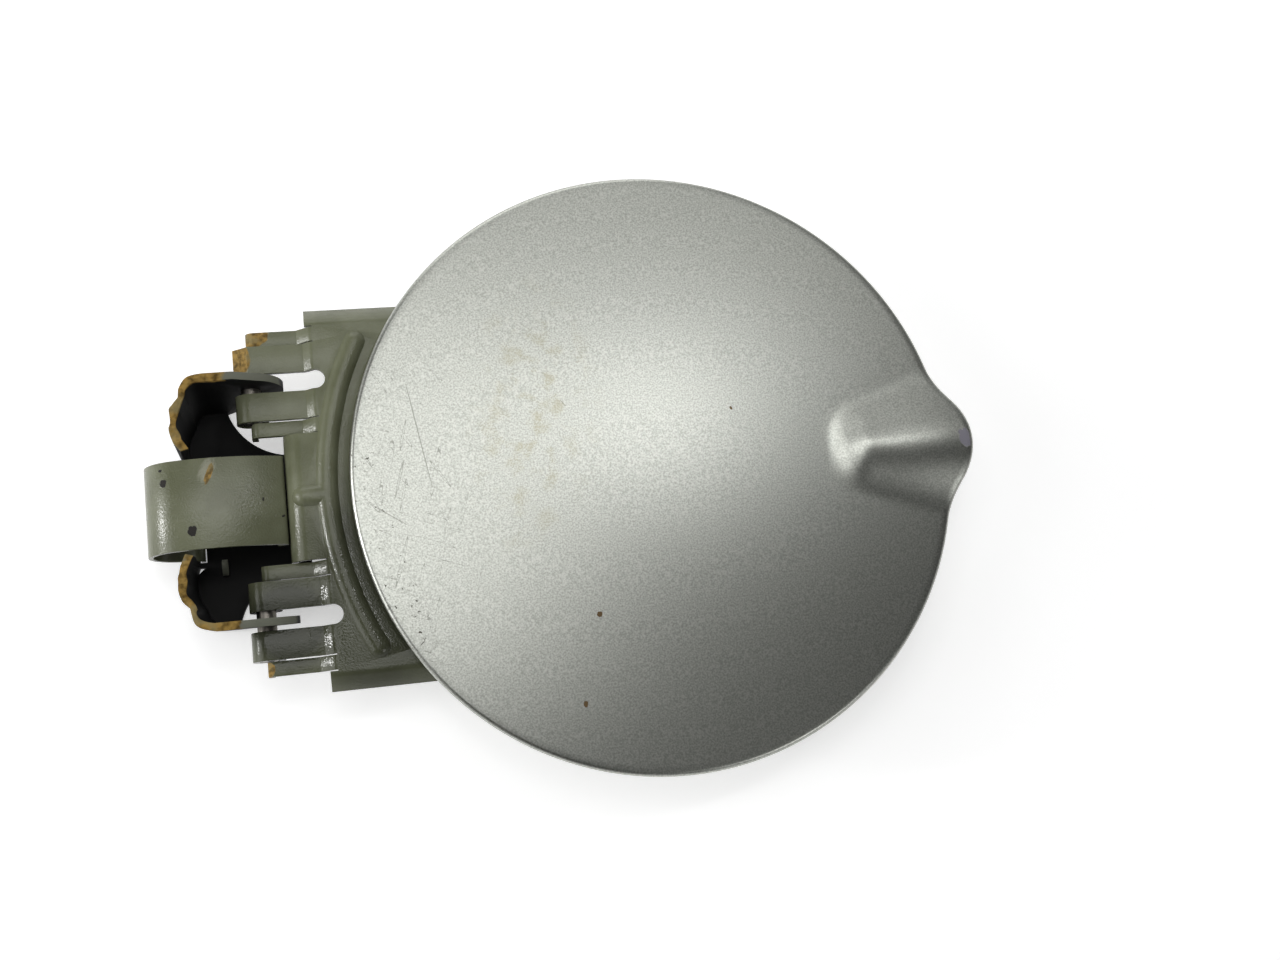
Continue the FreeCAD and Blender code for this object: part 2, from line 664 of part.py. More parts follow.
def bump_stop(at):
    big = BUFFER_DIAMETER / 2
    stem = BUFFER_STEM / 2
    cap = BUFFER_CAP_DIAMETER / 2
    low = PLATE_TOP - BUFFER_LENGTH
    high = DISH_TOP + BUFFER_CAP_HEIGHT
    section = [
        Part.makeLine(side_plane(0, low), side_plane(big - BUFFER_BEVEL, low)),
        Part.makeLine(side_plane(big - BUFFER_BEVEL, low), side_plane(big, low + BUFFER_BEVEL)),
        Part.makeLine(side_plane(big, low + BUFFER_BEVEL), side_plane(big, PLATE_TOP)),
        Part.makeLine(side_plane(big, PLATE_TOP), side_plane(stem, PLATE_TOP)),
        Part.makeLine(side_plane(stem, PLATE_TOP), side_plane(stem, DISH_TOP)),
        Part.makeLine(side_plane(stem, DISH_TOP), side_plane(cap, DISH_TOP)),
        Part.makeLine(side_plane(cap, DISH_TOP), side_plane(stem, high)),
        Part.makeLine(side_plane(stem, high), side_plane(0, high)),
        Part.makeLine(side_plane(0, high), side_plane(0, low)),
    ]
    stop = outline_face(section).revolve(vec(0, 0, 0), vec(0, 0, 1), 360)
    stop.translate(at)
    return stop


# Latch striker

def latch_striker():
    middle = STRIKER_SHEET / 2
    bend_x = DISC_X + DISH_RADIUS - STRIKER_INSET
    moves = [line(STRIKER_FOOT), bend(STRIKER_BEND_RADIUS, -90), line(STRIKER_DROP)]
    start = (bend_x - STRIKER_FOOT, PLATE_TOP - middle)
    section = folded_sheet(side_plane, start, 0, moves, STRIKER_SHEET)
    strip = across(section, -STRIKER_WIDTH / 2, STRIKER_WIDTH / 2)
    low = PLATE_TOP - STRIKER_BEND_RADIUS - STRIKER_DROP + STRIKER_SLOT_HEIGHT / 2
    half = STRIKER_SLOT_WIDTH / 2
    return strip.cut(block(bend_x, bend_x + THROUGH, -half, half, low, low + STRIKER_SLOT_HEIGHT))


pin = hinge_pin()
stops = [bump_stop(at) for at in buffer_places()]
parts = {
    "hinge_base": hinge_base(),
    "leaf_spring": leaf_spring(),
    "upper_hinge_pin": pin,
    "lower_hinge_pin": mirrored(pin),
    "hinge_arm": hinge_arm(),
    "inner_panel": inner_panel(),
    "door_skin": door_skin(),
    "upper_buffer": stops[0],
    "lower_buffer": stops[1],
    "latch_striker": latch_striker(),
}

os.makedirs("parts", exist_ok=True)
for name, shape in parts.items():
    shape.exportStep("parts/" + name + ".step")
    print(name, "solids", len(shape.Solids), "valid", shape.isValid(), "volume", round(shape.Volume, 1))
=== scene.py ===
# %% [markdown]
# # A worn fuel filler door
#
# This lesson dresses the CAD model of a car's fuel filler door: a round silver flap with a raised
# finger lip, carried by an olive stamped hinge arm, a C-shaped leaf spring and a hinge base that was
# torn out of the car. The CAD pieces arrive as a fixed frame in metres. We keep their places, ease the
# sharp edges that a real press never leaves, and give every piece the finish that it has after years
# on the road.

# %% Load the frame
import math
import bmesh
import bpy
from mathutils import Matrix, Vector, noise


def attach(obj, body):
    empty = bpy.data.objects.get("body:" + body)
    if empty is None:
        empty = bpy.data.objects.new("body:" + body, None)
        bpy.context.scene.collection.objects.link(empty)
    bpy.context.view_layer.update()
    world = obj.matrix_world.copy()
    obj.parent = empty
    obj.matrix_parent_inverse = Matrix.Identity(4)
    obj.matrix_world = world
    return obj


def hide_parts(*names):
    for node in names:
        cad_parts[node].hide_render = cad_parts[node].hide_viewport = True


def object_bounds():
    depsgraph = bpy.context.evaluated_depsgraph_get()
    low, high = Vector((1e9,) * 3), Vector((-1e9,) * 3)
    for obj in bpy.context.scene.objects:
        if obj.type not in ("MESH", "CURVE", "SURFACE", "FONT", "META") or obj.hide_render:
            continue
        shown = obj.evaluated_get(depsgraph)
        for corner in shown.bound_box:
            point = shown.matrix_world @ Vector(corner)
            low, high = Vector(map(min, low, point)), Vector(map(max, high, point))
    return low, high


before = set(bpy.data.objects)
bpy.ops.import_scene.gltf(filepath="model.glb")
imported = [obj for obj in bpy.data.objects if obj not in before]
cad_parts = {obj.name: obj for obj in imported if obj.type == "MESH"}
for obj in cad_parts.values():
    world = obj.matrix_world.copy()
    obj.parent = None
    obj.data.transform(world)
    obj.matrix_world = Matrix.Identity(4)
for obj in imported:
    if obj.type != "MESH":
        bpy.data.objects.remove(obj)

cad_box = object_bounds()
MM = 0.001
print("CAD nodes:", sorted(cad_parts))
print("CAD box in mm:", [[round(c / MM, 1) for c in corner] for corner in cad_box])

# %% [markdown]
# ## Colours and nodes
#
# Paint chips are matched as sRGB hex values, but Blender mixes light in linear values, so one function
# turns the first into the second. A second function adds any node to any tree: `links` says what each
# input takes, which is a number, a colour, another node or one socket of a node.


# %% Two helpers for every tree
def linear(hex_colour):
    channels = [int(hex_colour[i:i + 2], 16) / 255 for i in (1, 3, 5)]
    return tuple(c / 12.92 if c <= 0.04045 else ((c + 0.055) / 1.055) ** 2.4 for c in channels) + (1.0,)


def add(tree, kind, links, **settings):
    node = tree.nodes.new(kind)
    for name, value in settings.items():
        setattr(node, name, value)
    for key, value in links.items():
        if isinstance(key, int):
            socket = node.inputs[key]
        else:
            socket = next(s for s in node.inputs if s.enabled and s.name == key)
        if isinstance(value, bpy.types.Node):
            value = next(s for s in value.outputs if s.enabled)
        if isinstance(value, bpy.types.NodeSocket):
            tree.links.new(value, socket)
        else:
            socket.default_value = value
    return node


print("white in linear:", linear("#FFFFFF"))

# %% [markdown]
# ## Where a mark sits
#
# Wear isn't spread evenly: a chip has a place. Each material reads Object coordinates, which are the
# same metres as the CAD frame, so a mark is an ellipsoid. Its row gives its middle and its three half
# sizes in millimetres, and its turn about the upright axis in degrees. A noise that grows with the mark
# makes its border ragged, and several marks join by taking the larger mask.


# %% Masks for chips, stains and worn patches
MARK_WAVES = 1.7


def new_material(name):
    material = bpy.data.materials.new(name)
    material.use_nodes = True
    material.node_tree.nodes.clear()
    return material, material.node_tree


def marks(tree, where, rows, ragged=0.8, soft=0.06):
    mask = 0.0
    edge = 1 + ragged / 2
    for middle_mm, half_mm, turn_deg in rows:
        local = add(tree, "ShaderNodeMapping", {
            "Vector": where, "Location": [c * MM for c in middle_mm],
            "Rotation": (0, 0, math.radians(turn_deg)),
            "Scale": [c * MM for c in half_mm]}, vector_type="TEXTURE")
        far = add(tree, "ShaderNodeVectorMath", {0: local}, operation="LENGTH").outputs["Value"]
        rough = add(tree, "ShaderNodeTexNoise", {"Vector": local, "Scale": MARK_WAVES, "Detail": 4.0})
        reach = add(tree, "ShaderNodeMath", {0: rough, 1: ragged, 2: far}, operation="MULTIPLY_ADD")
        inside = add(tree, "ShaderNodeMapRange", {
            "Value": reach, "From Min": edge + soft, "From Max": edge - soft})
        mask = add(tree, "ShaderNodeMath", {0: mask, 1: inside}, operation="MAXIMUM")
    return mask


print("waves of the border noise in half a mark:", MARK_WAVES)

# %% [markdown]
# Rust is the finish that two of the paints share. It is no even brown: grains of dark and ochre oxide
# lie side by side, with greyer streaks where it was rubbed. Two noises of different size mix the three.


# %% Rust for every bare edge
DARK_OXIDE = "#58451F"
OCHRE_OXIDE = "#967A40"
RUBBED_OXIDE = "#857A55"


def rust_grains(tree, where, grain_mm):
    grains = add(tree, "ShaderNodeTexNoise", {
        "Vector": where, "Scale": 1 / (grain_mm * MM), "Detail": 5.0})
    grains = add(tree, "ShaderNodeMapRange", {"Value": grains, "From Min": 0.36, "From Max": 0.6})
    rubbed = add(tree, "ShaderNodeTexNoise", {
        "Vector": where, "Scale": 1 / (3 * grain_mm * MM), "Detail": 3.0})
    rubbed = add(tree, "ShaderNodeMapRange", {
        "Value": rubbed, "From Min": 0.48, "From Max": 0.62, "To Max": 0.7})
    brown = add(tree, "ShaderNodeMix", {
        "Factor": grains, "A": linear(DARK_OXIDE), "B": linear(OCHRE_OXIDE)}, data_type="RGBA")
    return add(tree, "ShaderNodeMix", {
        "Factor": rubbed, "A": brown, "B": linear(RUBBED_OXIDE)}, data_type="RGBA")


print("rust colours:", DARK_OXIDE, OCHRE_OXIDE, RUBBED_OXIDE)

# %% [markdown]
# ## Silver metallic paint
#
# Car silver is aluminium flake in clear lacquer. The flakes lie almost flat, so the paint acts like a
# rough metal: bright where it mirrors the lamp and dark where it doesn't. Each flake tilts a little,
# which the eye sees as grain. Real flakes are about 0.02 mm, far below a pixel, so the grain is drawn
# as coarse as 0.45 mm to show at all.

# %% Silver paint: lacquer over flake
FLAKE_MM = 0.45
silver, tree = new_material("silver_metallic_paint")
where = add(tree, "ShaderNodeTexCoord", {}).outputs["Object"]
flake = add(tree, "ShaderNodeTexNoise", {"Vector": where, "Scale": 1 / (FLAKE_MM * MM), "Detail": 1.0})
glint = add(tree, "ShaderNodeMapRange", {"Value": flake, "From Min": 0.33, "From Max": 0.67})
lacquer = add(tree, "ShaderNodeMix", {
    "Factor": glint, "A": linear("#9FA19A"), "B": linear("#C0C2BB")}, data_type="RGBA")
print("flake grain:", FLAKE_MM, "mm")

# %% [markdown]
# The wear tells how the door was used. Fingers and the filler nozzle scratched the side near the hinge.
# Fine scratches are the contour lines of a noise that is stretched along the stroke, which gives long
# thin lines that never repeat. Three scores stand out, so each of them is a mark of its own, about
# 0.3 mm wide.

# %% Silver paint: scratches
SCRATCH_LENGTH_MM = 30.0
SCRATCH_GAP_MM = 1.6
SCRATCH_CONTOUR = 0.68
SCRATCH_HALF_BAND = 0.007
SCRATCH_SHARE = 0.6
STROKES_DEG = (-58, -20, 74)
HANDLED_AREA = [((39, -8, 30), (15, 44, 9), 0)]
SCORES = [((42.2, 12.1, 30), (15.4, 0.16, 3), -81),
          ((33.2, -8.1, 30), (5.5, 0.14, 3), -35),
          ((80.8, 18.3, 30), (1.2, 0.14, 3), -55)]
handled = marks(tree, where, HANDLED_AREA, ragged=0.9, soft=0.25)
scratched = 0.0
for stroke_deg in STROKES_DEG:
    along = add(tree, "ShaderNodeMapping", {
        "Vector": where, "Rotation": (0, 0, math.radians(stroke_deg)),
        "Scale": (SCRATCH_LENGTH_MM * MM, SCRATCH_GAP_MM * MM, 1.0)}, vector_type="TEXTURE")
    wave = add(tree, "ShaderNodeTexNoise", {"Vector": along, "Scale": 1.0, "Detail": 0.0})
    stroke = add(tree, "ShaderNodeMath", {
        0: wave, 1: SCRATCH_CONTOUR, 2: SCRATCH_HALF_BAND}, operation="COMPARE")
    scratched = add(tree, "ShaderNodeMath", {0: scratched, 1: stroke}, operation="MAXIMUM")
scratched = add(tree, "ShaderNodeMath", {0: scratched, 1: handled}, operation="MULTIPLY")
scores = marks(tree, where, SCORES)
scratched = add(tree, "ShaderNodeMath", {0: scratched, 1: scores}, operation="MAXIMUM")
scratched = add(tree, "ShaderNodeMath", {0: scratched, 1: SCRATCH_SHARE}, operation="MULTIPLY")
lined = add(tree, "ShaderNodeMix", {
    "Factor": scratched, "A": lacquer, "B": linear("#6E6F68")}, data_type="RGBA")
print("strokes:", len(STROKES_DEG), "scores:", len(SCORES))

# %% [markdown]
# Fuel ran down and left a faint stain, which is a cloudy noise inside one large soft mark. Dirt stuck in
# the gap along the rim, as specks of about a millimetre.

# %% Silver paint: stain and dirt
CLOUD_MM = 5.0
SPECK_MM = 1.0
STAINED_AREA = [((72, 16, 30), (13, 27, 9), -8)]
DIRTY_RIM = [((31.5, -16, 30), (5.0, 36, 9), 14)]
cloud = add(tree, "ShaderNodeTexNoise", {"Vector": where, "Scale": 1 / (CLOUD_MM * MM), "Detail": 6.0})
cloud = add(tree, "ShaderNodeMapRange", {
    "Value": cloud, "From Min": 0.5, "From Max": 0.66, "To Max": 0.42})
stain = marks(tree, where, STAINED_AREA, ragged=0.9, soft=0.5)
stain = add(tree, "ShaderNodeMath", {0: stain, 1: cloud}, operation="MULTIPLY")
stained = add(tree, "ShaderNodeMix", {
    "Factor": stain, "A": lined, "B": linear("#948C6C")}, data_type="RGBA")

rim_dirt = marks(tree, where, DIRTY_RIM, ragged=0.6, soft=0.3)
speck = add(tree, "ShaderNodeTexNoise", {"Vector": where, "Scale": 1 / (SPECK_MM * MM), "Detail": 2.0})
speck = add(tree, "ShaderNodeMapRange", {"Value": speck, "From Min": 0.66, "From Max": 0.72})
speck = add(tree, "ShaderNodeMath", {0: speck, 1: rim_dirt}, operation="MULTIPLY")
dirty = add(tree, "ShaderNodeMix", {
    "Factor": speck, "A": stained, "B": linear("#4A453B")}, data_type="RGBA")
print("stain clouds:", CLOUD_MM, "mm, specks:", SPECK_MM, "mm")

# %% [markdown]
# Two stone chips rusted through, a third is only a dark dot, and the tip of the lip lost its paint down
# to the violet primer. Where the paint is gone, the surface is neither metallic nor glossy.

# %% Silver paint: chips, and the finished paint
STONE_CHIPS = [((84.5, -38.6, 30.1), (0.75, 0.7, 2), 0),
               ((78.5, -61.2, 29.0), (0.6, 0.8, 2), 0),
               ((126.8, 13.8, 30.7), (0.35, 0.5, 2), 30)]
BARE_LIP_TIP = [((191.5, -0.2, 35.0), (1.7, 2.5, 2.5), 12)]
FLAKE_BUMP_MM = 0.03
pits = marks(tree, where, STONE_CHIPS)
pitted = add(tree, "ShaderNodeMix", {
    "Factor": pits, "A": dirty, "B": linear("#5A4526")}, data_type="RGBA")
primer = marks(tree, where, BARE_LIP_TIP, ragged=1.3)
chipped = add(tree, "ShaderNodeMix", {
    "Factor": primer, "A": pitted, "B": linear("#77757E")}, data_type="RGBA")
bare = add(tree, "ShaderNodeMath", {0: pits, 1: primer}, operation="MAXIMUM")
bare = add(tree, "ShaderNodeMath", {0: bare, 1: speck}, operation="MAXIMUM")
grain = add(tree, "ShaderNodeBump", {"Height": flake, "Strength": 0.1, "Distance": FLAKE_BUMP_MM * MM})
paint = add(tree, "ShaderNodeBsdfPrincipled", {
    "Base Color": chipped, "Normal": grain,
    "Metallic": add(tree, "ShaderNodeMapRange", {"Value": bare, "To Min": 1.0, "To Max": 0.0}),
    "Roughness": add(tree, "ShaderNodeMapRange", {"Value": bare, "To Min": 0.34, "To Max": 0.8})})
add(tree, "ShaderNodeOutputMaterial", {"Surface": paint})
print("silver paint nodes:", len(tree.nodes))

# %% [markdown]
# ## Olive-grey enamel
#
# The arm and the spring are painted with a thick olive-grey enamel. It isn't metallic, and it is
# glossier on the lower half of the arm, where its colour is also darkened as painted shade. A slow
# noise changes its tone from place to place.

# %% Olive enamel: tone, gloss and painted shade
TONE_MM = 9.0
LOWER_TABS = [((6, -32, 21), (12, 13, 9), 0)]
LOWER_PLATE = [((27, -28, 22), (19, 30, 9), 0)]
PLATE_PAINTED_SHADE = 0.8
PAINTED_SHADE_DEPTH = 0.9
olive, tree = new_material("olive_enamel")
where = add(tree, "ShaderNodeTexCoord", {}).outputs["Object"]
slow = add(tree, "ShaderNodeTexNoise", {"Vector": where, "Scale": 1 / (TONE_MM * MM), "Detail": 3.0})
slow = add(tree, "ShaderNodeMapRange", {"Value": slow, "From Min": 0.35, "From Max": 0.65})
tone = add(tree, "ShaderNodeMix", {
    "Factor": slow, "A": linear("#60634D"), "B": linear("#6D705A")}, data_type="RGBA")
lower_tabs = marks(tree, where, LOWER_TABS, ragged=0.2, soft=0.3)
lower_plate = marks(tree, where, LOWER_PLATE, ragged=0.2, soft=0.3)
glossy = add(tree, "ShaderNodeMath", {0: lower_tabs, 1: lower_plate}, operation="MAXIMUM")
gloss = add(tree, "ShaderNodeMapRange", {"Value": glossy, "To Min": 0.24, "To Max": 0.15})
# painted shade: the lower plate and the lower tabs of the arm get a darker base colour
painted_shade = add(tree, "ShaderNodeMath", {0: lower_plate, 1: PLATE_PAINTED_SHADE}, operation="MULTIPLY")
painted_shade = add(tree, "ShaderNodeMath", {0: painted_shade, 1: lower_tabs}, operation="MAXIMUM")
painted_shade = add(tree, "ShaderNodeMath", {0: painted_shade, 1: PAINTED_SHADE_DEPTH}, operation="MULTIPLY")
# the painted shade mixes the tone towards #2B2D22
tone = add(tree, "ShaderNodeMix", {
    "Factor": painted_shade, "A": tone, "B": linear("#2B2D22")}, data_type="RGBA")
print("tone changes over", TONE_MM, "mm")

# %% [markdown]
# The enamel has run together in lumps at the bends and on the thin tabs. Two noises make this surface:
# lumps where the paint is thick, and everywhere a fine orange peel that breaks the highlights into
# specks.

# %% Olive enamel: lumps and orange peel
LUMP_MM = 1.9
PEEL_MM = 0.5
PEEL_SHARE = 0.6
ENAMEL_BUMP_MM = 0.25
THICK_PAINT = [((13.2, -31, 22), (2.8, 15, 6), 0),
               ((7, -19.3, 21), (9, 2, 4), 0),
               ((7, -43.8, 21), (9, 2, 4), 0),
               ((6, 19, 21), (9, 2, 4), 0)]
lump = add(tree, "ShaderNodeTexNoise", {"Vector": where, "Scale": 1 / (LUMP_MM * MM), "Detail": 1.0})
thick = marks(tree, where, THICK_PAINT, ragged=0.3, soft=0.15)
bumpy = add(tree, "ShaderNodeMapRange", {"Value": thick, "To Min": 0.1, "To Max": 1.0})
peel = add(tree, "ShaderNodeTexNoise", {"Vector": where, "Scale": 1 / (PEEL_MM * MM), "Detail": 1.0})
peel = add(tree, "ShaderNodeMath", {0: peel, 1: PEEL_SHARE}, operation="MULTIPLY")
height = add(tree, "ShaderNodeMath", {0: lump, 1: bumpy, 2: peel}, operation="MULTIPLY_ADD")
surface = add(tree, "ShaderNodeBump", {
    "Height": height, "Strength": 0.5, "Distance": ENAMEL_BUMP_MM * MM})
print("lumps", LUMP_MM, "mm, peel", PEEL_MM, "mm")

# %% [markdown]
# Chips on the spring show black steel, and one long streak was rubbed through and rusted. The outer
# corner of the upper hinge was ground off, and the bare metal there turned to rust, as did the tip of
# the lowest tab.

# %% Olive enamel: rust and chips
ENAMEL_RUST_MM = 1.4
SCUFF_SHARE = 0.45
RUST_STREAK = [((-11.4, 7.6, 24.9), (3.0, 0.75, 2), 68)]
SCUFFED_AREA = [((-11.9, 8.6, 24.9), (3.0, 1.5, 2), 62)]
GROUND_OFF = [((-2.4, 38.2, 20.0), (3.3, 4.6, 5), 12),
              ((2.6, 44.2, 20.4), (3.5, 2.4, 5), 30),
              ((0.2, -43.6, 19.6), (1.3, 2.0, 3), 0)]
WORN_EDGES = [((0.5, 21.4, 18.8), (4.6, 0.9, 2.2), 0),
              ((7.5, 21.4, 20.6), (3.5, 0.7, 0.7), 0)]
ENAMEL_CHIPS = [((-23.5, 9.6, 22.6), (0.5, 0.35, 2), 0),
                ((-22.9, 6.2, 23.0), (0.9, 1.0, 2), 0),
                ((-16.3, -6.9, 24.6), (1.2, 1.3, 2), 0),
                ((1.5, 0.2, 22.9), (0.25, 0.5, 2), 0),
                ((6.2, -4.3, 21.0), (0.5, 0.25, 2), 30)]
streak = marks(tree, where, RUST_STREAK)
scuff = marks(tree, where, SCUFFED_AREA, ragged=1.4, soft=0.3)
scuff = add(tree, "ShaderNodeMath", {0: scuff, 1: SCUFF_SHARE}, operation="MULTIPLY")
scuffed = add(tree, "ShaderNodeMix", {
    "Factor": scuff, "A": tone, "B": linear("#A6A595")}, data_type="RGBA")
ground = marks(tree, where, GROUND_OFF, ragged=0.5)
rusty = add(tree, "ShaderNodeMath", {0: streak, 1: ground}, operation="MAXIMUM")
rust = rust_grains(tree, where, ENAMEL_RUST_MM)
rusted = add(tree, "ShaderNodeMix", {"Factor": rusty, "A": scuffed, "B": rust}, data_type="RGBA")
chips = marks(tree, where, ENAMEL_CHIPS, ragged=1.1)
edge_wear = marks(tree, where, WORN_EDGES, ragged=1.2)
dark = add(tree, "ShaderNodeMath", {0: chips, 1: edge_wear}, operation="MAXIMUM")
chipped = add(tree, "ShaderNodeMix", {
    "Factor": dark, "A": rusted, "B": linear("#1E1B17")}, data_type="RGBA")
worn = add(tree, "ShaderNodeMath", {0: dark, 1: rusty}, operation="MAXIMUM")
paint = add(tree, "ShaderNodeBsdfPrincipled", {
    "Base Color": chipped, "Normal": surface,
    "Roughness": add(tree, "ShaderNodeMapRange", {"Value": worn, "To Min": gloss, "To Max": 0.85})})
add(tree, "ShaderNodeOutputMaterial", {"Surface": paint})
print("olive enamel nodes:", len(tree.nodes))

# %% [markdown]
# On the arm the same enamel has weathered, so it mirrors a little less than on the spring. A copy of the
# material with one lower value is enough for that.

# %% Weathered enamel for the arm
WEATHERED_SPECULAR = 0.36
arm_olive = olive.copy()
arm_olive.name = "olive_enamel_weathered"
arm_paint = arm_olive.node_tree.nodes[paint.name]
arm_paint.inputs["Specular IOR Level"].default_value = WEATHERED_SPECULAR
print("copied paint:", arm_olive.name)

# %% [markdown]
# ## Black paint with torn, rusty edges
#
# The hinge base is near-black on every face that doesn't point upwards, which is partly its black
# paint and partly painted shade in its pocket. In front of the tear, faces above 15 mm that point
# upwards are olive-grey, partly olive paint on the edges and partly painted light from above, and the
# two small lugs on the floor are olive-grey too. Where the sheet tore there is no paint at all, so the
# edge rusted to an ochre crust. All that lies above a certain height, behind the hinge, counts as torn,
# and a noise lets both limits wander, so that the rust creeps down the sheet.

# %% Black paint: where it tore
TORN_FROM_MM = 27.6
RUST_ENDS_X_MM = -5.5
CREEP_MM = 2.0
CREEP_DOWN_MM = 2.0
CREEP_ALONG_MM = 5.0
TORN_BLEND_MM = (0.9, 1.3)
RUST_BLEND_MM = (3.0, 2.0)
base_black, tree = new_material("black_paint_rusted")
coordinates = add(tree, "ShaderNodeTexCoord", {}).outputs
where = coordinates["Object"]
place = add(tree, "ShaderNodeSeparateXYZ", {0: where}).outputs
creep = add(tree, "ShaderNodeTexNoise", {"Vector": where, "Scale": 1 / (CREEP_MM * MM), "Detail": 4.0})
level = add(tree, "ShaderNodeMath", {
    0: creep, 1: CREEP_DOWN_MM * MM, 2: place["Z"]}, operation="MULTIPLY_ADD")
high = add(tree, "ShaderNodeMapRange", {
    "Value": level, "From Min": (TORN_FROM_MM + TORN_BLEND_MM[0]) * MM,
    "From Max": (TORN_FROM_MM + TORN_BLEND_MM[1]) * MM})
reach = add(tree, "ShaderNodeMath", {
    0: creep, 1: CREEP_ALONG_MM * MM, 2: place["X"]}, operation="MULTIPLY_ADD")
behind = add(tree, "ShaderNodeMapRange", {
    "Value": reach, "From Min": (RUST_ENDS_X_MM + RUST_BLEND_MM[0]) * MM,
    "From Max": (RUST_ENDS_X_MM + RUST_BLEND_MM[1]) * MM})
torn = add(tree, "ShaderNodeMath", {0: high, 1: behind}, operation="MULTIPLY")
print("torn above", TORN_FROM_MM, "mm")

# %% Black paint: colour by facing with painted light and shade, crust and the finished paint
UPWARD_OLIVE_FROM_MM = 15.0
BASE_RUST_MM = 1.8
CRUST_BUMP_MM = 0.3
FLOOR_LUGS = [((-10.5, side * 14.1, 5), (1.8, 2.6, 2.6), 0) for side in (-1, 1)]
# painted light and shade: faces that point upwards get a lighter colour than the faces turned away
facing = add(tree, "ShaderNodeSeparateXYZ", {0: coordinates["Normal"]}).outputs
upward = add(tree, "ShaderNodeMapRange", {"Value": facing["Z"], "From Min": 0.3, "From Max": 0.5})
raised = add(tree, "ShaderNodeMapRange", {
    "Value": place["Z"], "From Min": UPWARD_OLIVE_FROM_MM * MM, "From Max": (UPWARD_OLIVE_FROM_MM + 1) * MM})
olive_faces = add(tree, "ShaderNodeMath", {0: upward, 1: raised}, operation="MULTIPLY")
lugs = marks(tree, where, FLOOR_LUGS, ragged=0.3)
olive_faces = add(tree, "ShaderNodeMath", {0: olive_faces, 1: lugs}, operation="MAXIMUM")
# near-black is partly painted shade, olive-grey on upward faces partly painted light
facing_colour = add(tree, "ShaderNodeMix", {
    "Factor": olive_faces, "A": linear("#070707"), "B": linear("#6C6E62")}, data_type="RGBA")
rust = rust_grains(tree, where, BASE_RUST_MM)
rusted = add(tree, "ShaderNodeMix", {"Factor": torn, "A": facing_colour, "B": rust}, data_type="RGBA")
crust = add(tree, "ShaderNodeMath", {0: creep, 1: torn}, operation="MULTIPLY")
crust = add(tree, "ShaderNodeBump", {"Height": crust, "Strength": 0.5, "Distance": CRUST_BUMP_MM * MM})
paint = add(tree, "ShaderNodeBsdfPrincipled", {
    "Base Color": rusted, "Normal": crust, "Specular IOR Level": 0.2,
    "Roughness": add(tree, "ShaderNodeMapRange", {"Value": torn, "To Min": 0.6, "To Max": 0.9})})
add(tree, "ShaderNodeOutputMaterial", {"Surface": paint})
print("black paint nodes:", len(tree.nodes))

# %% [markdown]
# ## Plain finishes
#
# The pins are drawn steel gone dull, the striker is zinc plated and the bump stops are moulded rubber.
# Nothing is drawn on them, so each is only a colour, a metallic value and a roughness.

# %% Steel, zinc and rubber
plain = {}
for name, colour, metallic, roughness in (
        ("drawn_steel", "#7F7B74", 1.0, 0.4),
        ("zinc_plated_steel", "#A9A89F", 1.0, 0.32),
        ("moulded_rubber", "#1B1B1A", 0.0, 0.75)):
    plain[name], tree = new_material(name)
    paint = add(tree, "ShaderNodeBsdfPrincipled", {
        "Base Color": linear(colour), "Metallic": metallic, "Roughness": roughness})
    add(tree, "ShaderNodeOutputMaterial", {"Surface": paint})
print("plain finishes:", list(plain))

# %% [markdown]
# ## The door skin, cut flat and then pressed
#
# On the real part a flat blank is cut, its edge is folded back on itself as a hem, and a die presses
# the gentle crown and the finger lip. We follow the same steps. The blank is rings of points from the
# middle to the rim, round the folded edge, along the hem and back under the sheet, all flat. Then a
# Geometry Nodes tree is the die: it lifts every point by a rule. Rings were chosen over a square grid
# because they follow the rim, so its rounded edge shades cleanly.

# %% The outline of the blank
DISC_X_MM = 106.1
DISC_RADIUS_MM = 82.5
LIP_REACH_MM = 5.6
LIP_NOSE_MM = 20.0
LIP_BLEND_MM = 34.0
nose_x = DISC_RADIUS_MM + LIP_REACH_MM - LIP_NOSE_MM
to_disc = DISC_RADIUS_MM + LIP_BLEND_MM
to_nose = LIP_NOSE_MM + LIP_BLEND_MM
blend_x = (to_disc ** 2 - to_nose ** 2 + nose_x ** 2) / (2 * nose_x)
blend_y = math.sqrt(to_disc ** 2 - blend_x ** 2)
disc_bearing = math.atan2(blend_y, blend_x)
nose_end = Vector((nose_x, 0)) + LIP_NOSE_MM * Vector((blend_x - nose_x, blend_y)).normalized()
nose_bearing = math.atan2(nose_end.y, nose_end.x)


def rim_radius(bearing):
    side = abs(bearing)
    if side >= disc_bearing:
        return DISC_RADIUS_MM
    if side <= nose_bearing:
        return nose_x * math.cos(side) + math.sqrt(LIP_NOSE_MM ** 2 - (nose_x * math.sin(side)) ** 2)
    off = disc_bearing - side
    return to_disc * math.cos(off) - math.sqrt(LIP_BLEND_MM ** 2 - (to_disc * math.sin(off)) ** 2)


print("rim radius ahead and aside:", rim_radius(0.0), rim_radius(math.pi / 2))

# %% [markdown]
# The cross-section of the sheet is a list of stations. Each has a share of the way from the middle to
# the hem, how far it is inside the rim, and how deep it lies under the outer face. The hem is a half
# turn of the sheet, so its outside is a half circle as wide as the folded edge is thick.

